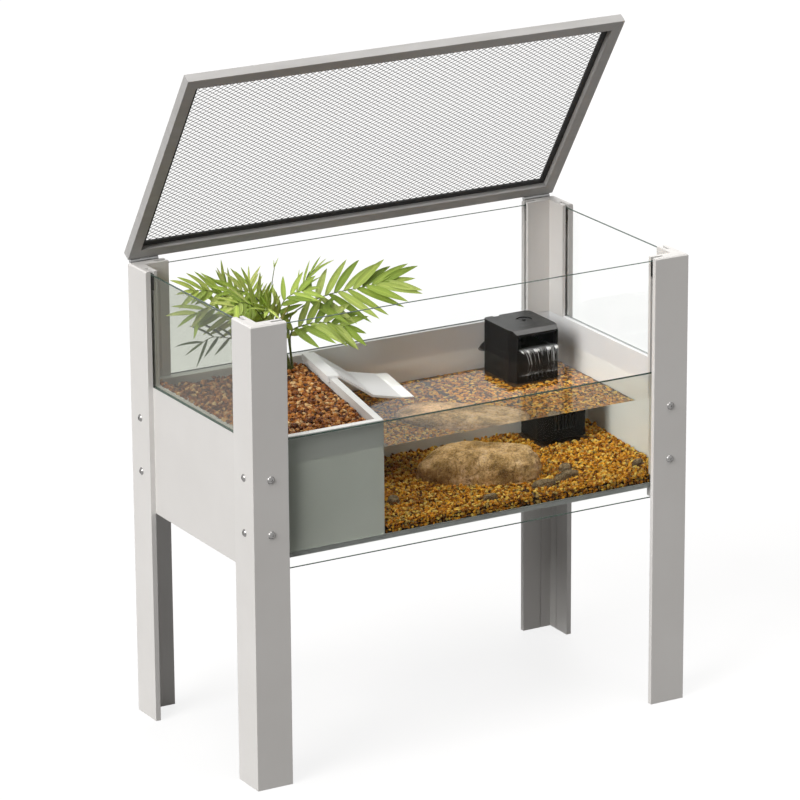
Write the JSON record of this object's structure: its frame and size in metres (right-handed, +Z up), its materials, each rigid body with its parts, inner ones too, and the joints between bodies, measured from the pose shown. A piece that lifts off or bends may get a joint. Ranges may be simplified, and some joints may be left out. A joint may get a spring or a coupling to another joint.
{
  "type": "turtle tank",
  "caption": "Free-standing turtle tank: tub and glass panes held in angle legs, with a lift-out planter and ramp, a waterfall filter and a hinged mesh lid.",
  "frame": {"origin": "middle of the floor area under the whole object at rest, on the floor", "axes": "+X to the right along the tank's width, +Y to the back where the lid is hinged, +Z up"},
  "size_m": [0.605, 0.326, 0.8402],
  "materials": {
    "leg_white": "smooth satin white",
    "tub_white": "smooth satin white board",
    "bolt_steel": "plated, polished",
    "insert_brass": "turned",
    "clear_glass": "clear float glass with green cut edges",
    "seal_clear": "translucent silicone",
    "rubber_black": "matte",
    "lid_grey": "satin silver-grey",
    "key_plastic": "moulded",
    "mesh_black": "black coated diamond mesh",
    "hinge_steel": "satin",
    "planter_white": "smooth white",
    "gravel_red": "loose reddish gravel",
    "palm_green": "leafy, slightly glossy",
    "ramp_white": "folded white plate",
    "gravel_golden": "loose golden-brown gravel",
    "boulder_stone": "water-worn",
    "river_stone": "water-worn, dark",
    "pump_black": "moulded black",
    "cup_rubber": "soft",
    "sponge_grey": "open-cell sponge",
    "motor_black": "sealed resin",
    "shaft_ceramic": "ground",
    "magnet_dark": "sintered ferrite",
    "impeller_white": "moulded"
  },
  "bodies": {
    "stand": {"leg_front_left": "leg_white", "leg_front_right": "leg_white", "leg_rear_left": "leg_white", "leg_rear_right": "leg_white", "corner_retainer_front_left": "leg_white", "corner_retainer_front_right": "leg_white", "corner_retainer_rear_left": "leg_white", "corner_retainer_rear_right": "leg_white", "leg_bolts": "bolt_steel", "threaded_inserts": "insert_brass", "tub_floor": "tub_white", "tub_left_wall": "tub_white", "tub_right_wall": "tub_white", "tub_back_wall": "tub_white", "front_post_left": "tub_white", "front_post_right": "tub_white", "front_tub_glass": "clear_glass", "front_glass_seal": "seal_clear", "front_glass": "clear_glass", "back_glass": "clear_glass", "left_glass": "clear_glass", "right_glass": "clear_glass", "glazing_wedges": "rubber_black", "hinge_leg_leaf_left": "hinge_steel", "hinge_leg_leaf_right": "hinge_steel", "hinge_pins": "hinge_steel", "hinge_leg_screws": "bolt_steel", "tub_gravel": "gravel_golden", "boulder": "boulder_stone", "river_stones": "river_stone", "pump_housing": "pump_black", "intake_grille": "pump_black", "suction_cups": "cup_rubber", "cord_grommet": "rubber_black", "filter_sponge": "sponge_grey", "motor_block": "motor_black", "pump_shaft": "shaft_ceramic", "volute_cover": "motor_black"},
    "lid": {"lid_front_rail": "lid_grey", "lid_back_rail": "lid_grey", "lid_left_rail": "lid_grey", "lid_right_rail": "lid_grey", "lid_corner_keys": "key_plastic", "lid_mesh": "mesh_black", "mesh_gasket": "rubber_black", "hinge_lid_leaf_left": "hinge_steel", "hinge_lid_leaf_right": "hinge_steel", "hinge_lid_screws": "bolt_steel"},
    "planter": {"planter_tray": "planter_white", "planter_gravel": "gravel_red", "palm_plant": "palm_green"},
    "ramp": {"ramp": "ramp_white"},
    "pump_cover": {"pump_cover": "pump_black", "waterfall_lip": "pump_black", "nozzle_plug": "pump_black"},
    "impeller": {"impeller": "impeller_white", "rotor_magnet": "magnet_dark"}
  },
  "joints": [
    {"name": "lid_hinge", "type": "hinge", "parent": "stand", "child": "lid", "pos_m": [0, 0.15489, 0.5755], "axis": [-1, 0, 0], "range_deg": [-56.7, 48]},
    {"name": "planter_lift", "type": "slide", "parent": "stand", "child": "planter", "axis": [0, 0, 1], "range_m": [0, 0.04]},
    {"name": "ramp_slide", "type": "slide", "parent": "planter", "child": "ramp", "axis": [-0.1887, -0.982, 0], "range_m": [0, 0.14]},
    {"name": "pump_cover_lift", "type": "slide", "parent": "stand", "child": "pump_cover", "axis": [0, 0, 1], "range_m": [0, 0.04]},
    {"name": "impeller_spin", "type": "hinge", "parent": "stand", "child": "impeller", "pos_m": [0.2165, 0.11009, 0.345], "axis": [0, 0, 1], "continuous": true}
  ]
}
